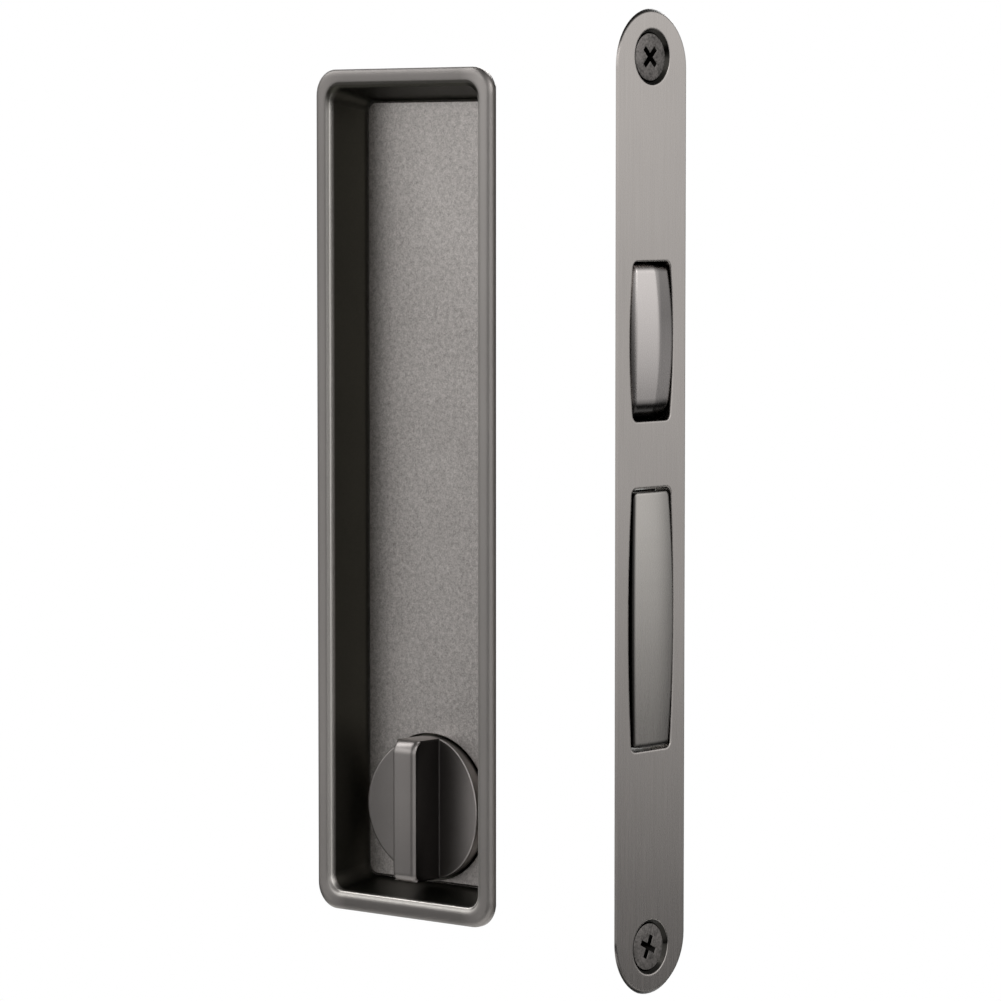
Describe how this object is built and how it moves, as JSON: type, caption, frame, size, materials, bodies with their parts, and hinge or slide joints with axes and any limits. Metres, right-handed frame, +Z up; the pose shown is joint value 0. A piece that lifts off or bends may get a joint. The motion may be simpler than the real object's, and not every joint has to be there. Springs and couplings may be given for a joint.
{
  "type": "sliding door lock",
  "caption": "Mortise lock for a sliding door: recessed flush pull with a thumb-turn, and a round-ended faceplate with a claw bolt and a swing-out edge pull.",
  "frame": {"origin": "on the front of the faceplate, midway between its two screws, in the middle of the door's thickness; nothing solid lies there but the bolt's front", "axes": "+X out of the door's edge; +Z up along the faceplate; -Y out of the door face that carries the flush pull, +Y through the door to its other face"},
  "size_m": [0.0674, 0.0355, 0.172],
  "materials": {
    "satin_steel": "vertical brushing, warm gunmetal grey",
    "satin_casting": "satin gunmetal grey plating on a die casting",
    "blasted_steel": "fine sandblasted gunmetal grey",
    "plated_steel": "light zinc plating",
    "dark_screws": "blackened",
    "hardened_steel": "ground"
  },
  "bodies": {
    "case": {"faceplate": "satin_steel", "backing_strip": "plated_steel", "upper_plate_screw": "dark_screws", "lower_plate_screw": "dark_screws", "case_body": "plated_steel", "case_cover": "plated_steel", "case_pillars": "plated_steel", "claw_studs": "hardened_steel", "rack_guide_post": "hardened_steel", "tray": "satin_casting", "floor_panel": "blasted_steel", "tray_screws": "plated_steel", "edge_pull_pin": "hardened_steel"},
    "thumb_turn": {"turn_knob": "satin_casting", "knob_circlip": "hardened_steel", "spindle": "plated_steel", "follower": "hardened_steel"},
    "bolt": {"claw_bolt": "satin_steel", "upper_claw_pin": "hardened_steel", "lower_claw_pin": "hardened_steel"},
    "upper_claw": {"upper_claw": "hardened_steel"},
    "lower_claw": {"lower_claw": "hardened_steel"},
    "edge_pull": {"edge_pull": "satin_casting"}
  },
  "joints": [
    {"name": "turn", "type": "hinge", "parent": "case", "child": "thumb_turn", "pos_m": [-0.039, 0, -0.055], "axis": [0, 1, 0], "range_deg": [0, 90]},
    {"name": "bolt_slide", "type": "slide", "parent": "case", "child": "bolt", "axis": [1, 0, 0], "range_m": [0, 0.01767]},
    {"name": "upper_claw_swing", "type": "hinge", "parent": "bolt", "child": "upper_claw", "pos_m": [-0.02, 0, -0.0088], "axis": [0, -1, 0], "range_deg": [0, 25.01]},
    {"name": "lower_claw_swing", "type": "hinge", "parent": "bolt", "child": "lower_claw", "pos_m": [-0.02, 0, -0.0312], "axis": [0, 1, 0], "range_deg": [0, 25.01]},
    {"name": "edge_pull_swing", "type": "hinge", "parent": "case", "child": "edge_pull", "pos_m": [-0.0065, 0, 0.024], "axis": [0, 1, 0], "range_deg": [0, 55]}
  ],
  "couplings": [
    {"joint": "turn", "follows": "bolt_slide", "rad_per_m": 88.889},
    {"joint": "upper_claw_swing", "follows": "bolt_slide", "rad_per_m": 24.691},
    {"joint": "lower_claw_swing", "follows": "bolt_slide", "rad_per_m": 24.691}
  ]
}
